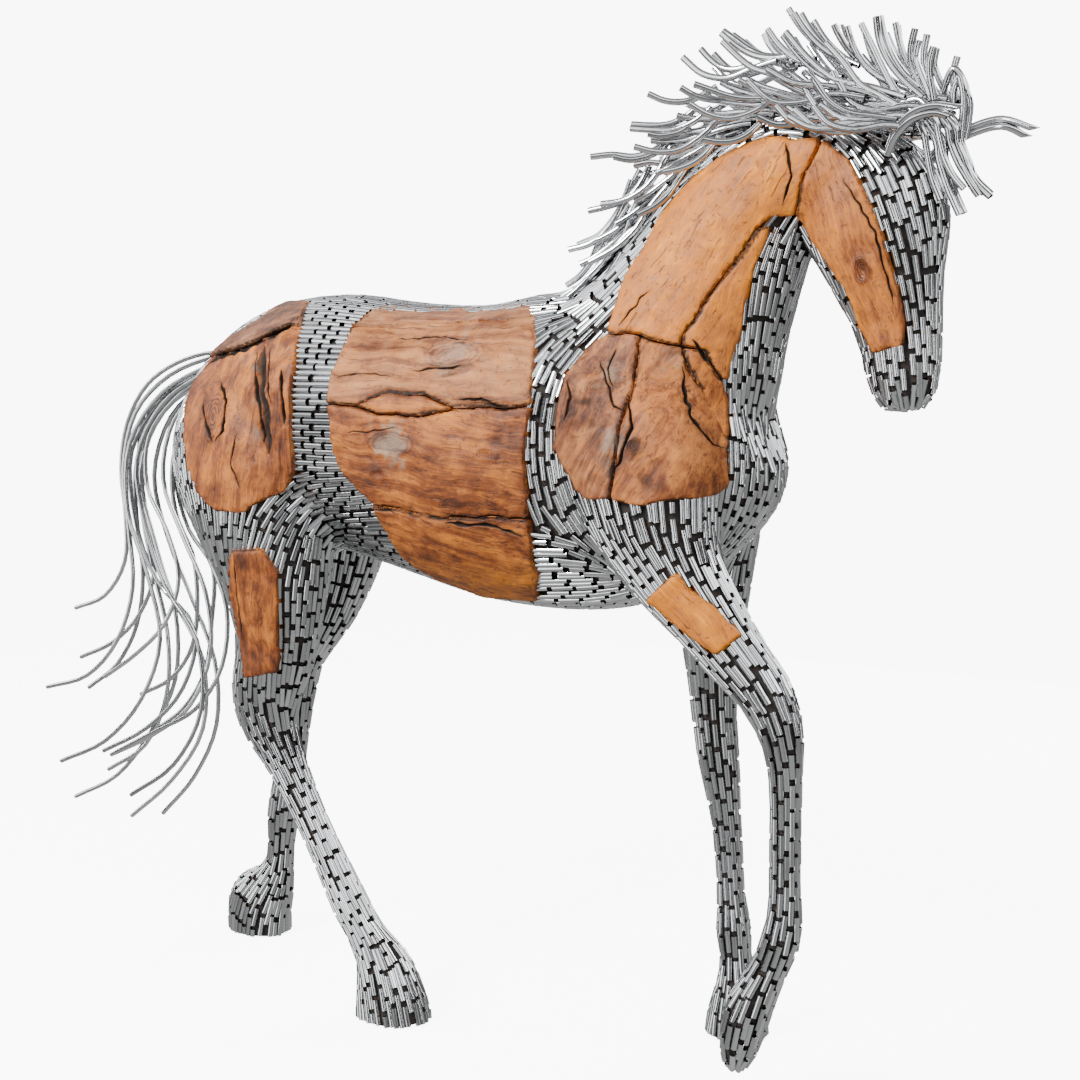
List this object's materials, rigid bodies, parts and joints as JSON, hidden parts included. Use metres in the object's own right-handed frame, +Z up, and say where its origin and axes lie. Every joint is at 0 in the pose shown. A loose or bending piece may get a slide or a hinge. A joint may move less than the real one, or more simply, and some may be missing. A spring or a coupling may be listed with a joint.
{
  "type": "stainless steel horse sculpture",
  "caption": "Life-size walking horse of short stainless steel tubes, with teak root slabs in its sides, tube mane and ears, and a tail of bent rods.",
  "frame": {"origin": "middle of the horse's bounding box, on the ground under it", "axes": "+X the way the horse faces, +Y to its left, +Z up"},
  "size_m": [2.429, 0.5846, 2.1024],
  "materials": {
    "stainless_tube": "drawn tube, satin to bright, welded and cleaned",
    "teak_root": "sanded and oiled, satin"
  },
  "bodies": {
    "root": {"belly": "teak_root", "belly_far": "teak_root", "cheek": "teak_root", "cheek_far": "teak_root", "ear_left": "stainless_tube", "ear_right": "stainless_tube", "flank_key": "teak_root", "flank_lower": "teak_root", "flank_lower_far": "teak_root", "flank_ridge": "teak_root", "flank_upper": "teak_root", "flank_upper_far": "teak_root", "forearm_left": "teak_root", "forearm_right": "teak_root", "gaskin_left": "teak_root", "gaskin_right": "teak_root", "haunch": "teak_root", "haunch_cap": "teak_root", "haunch_far": "teak_root", "mane": "stainless_tube", "neck": "teak_root", "neck_far": "teak_root", "shoulder": "teak_root", "shoulder_far": "teak_root", "shoulder_rear": "teak_root", "shoulder_rear_far": "teak_root", "shoulder_wedge": "teak_root", "steel_body": "stainless_tube", "tail": "stainless_tube", "throat": "teak_root"}
  },
  "joints": []
}
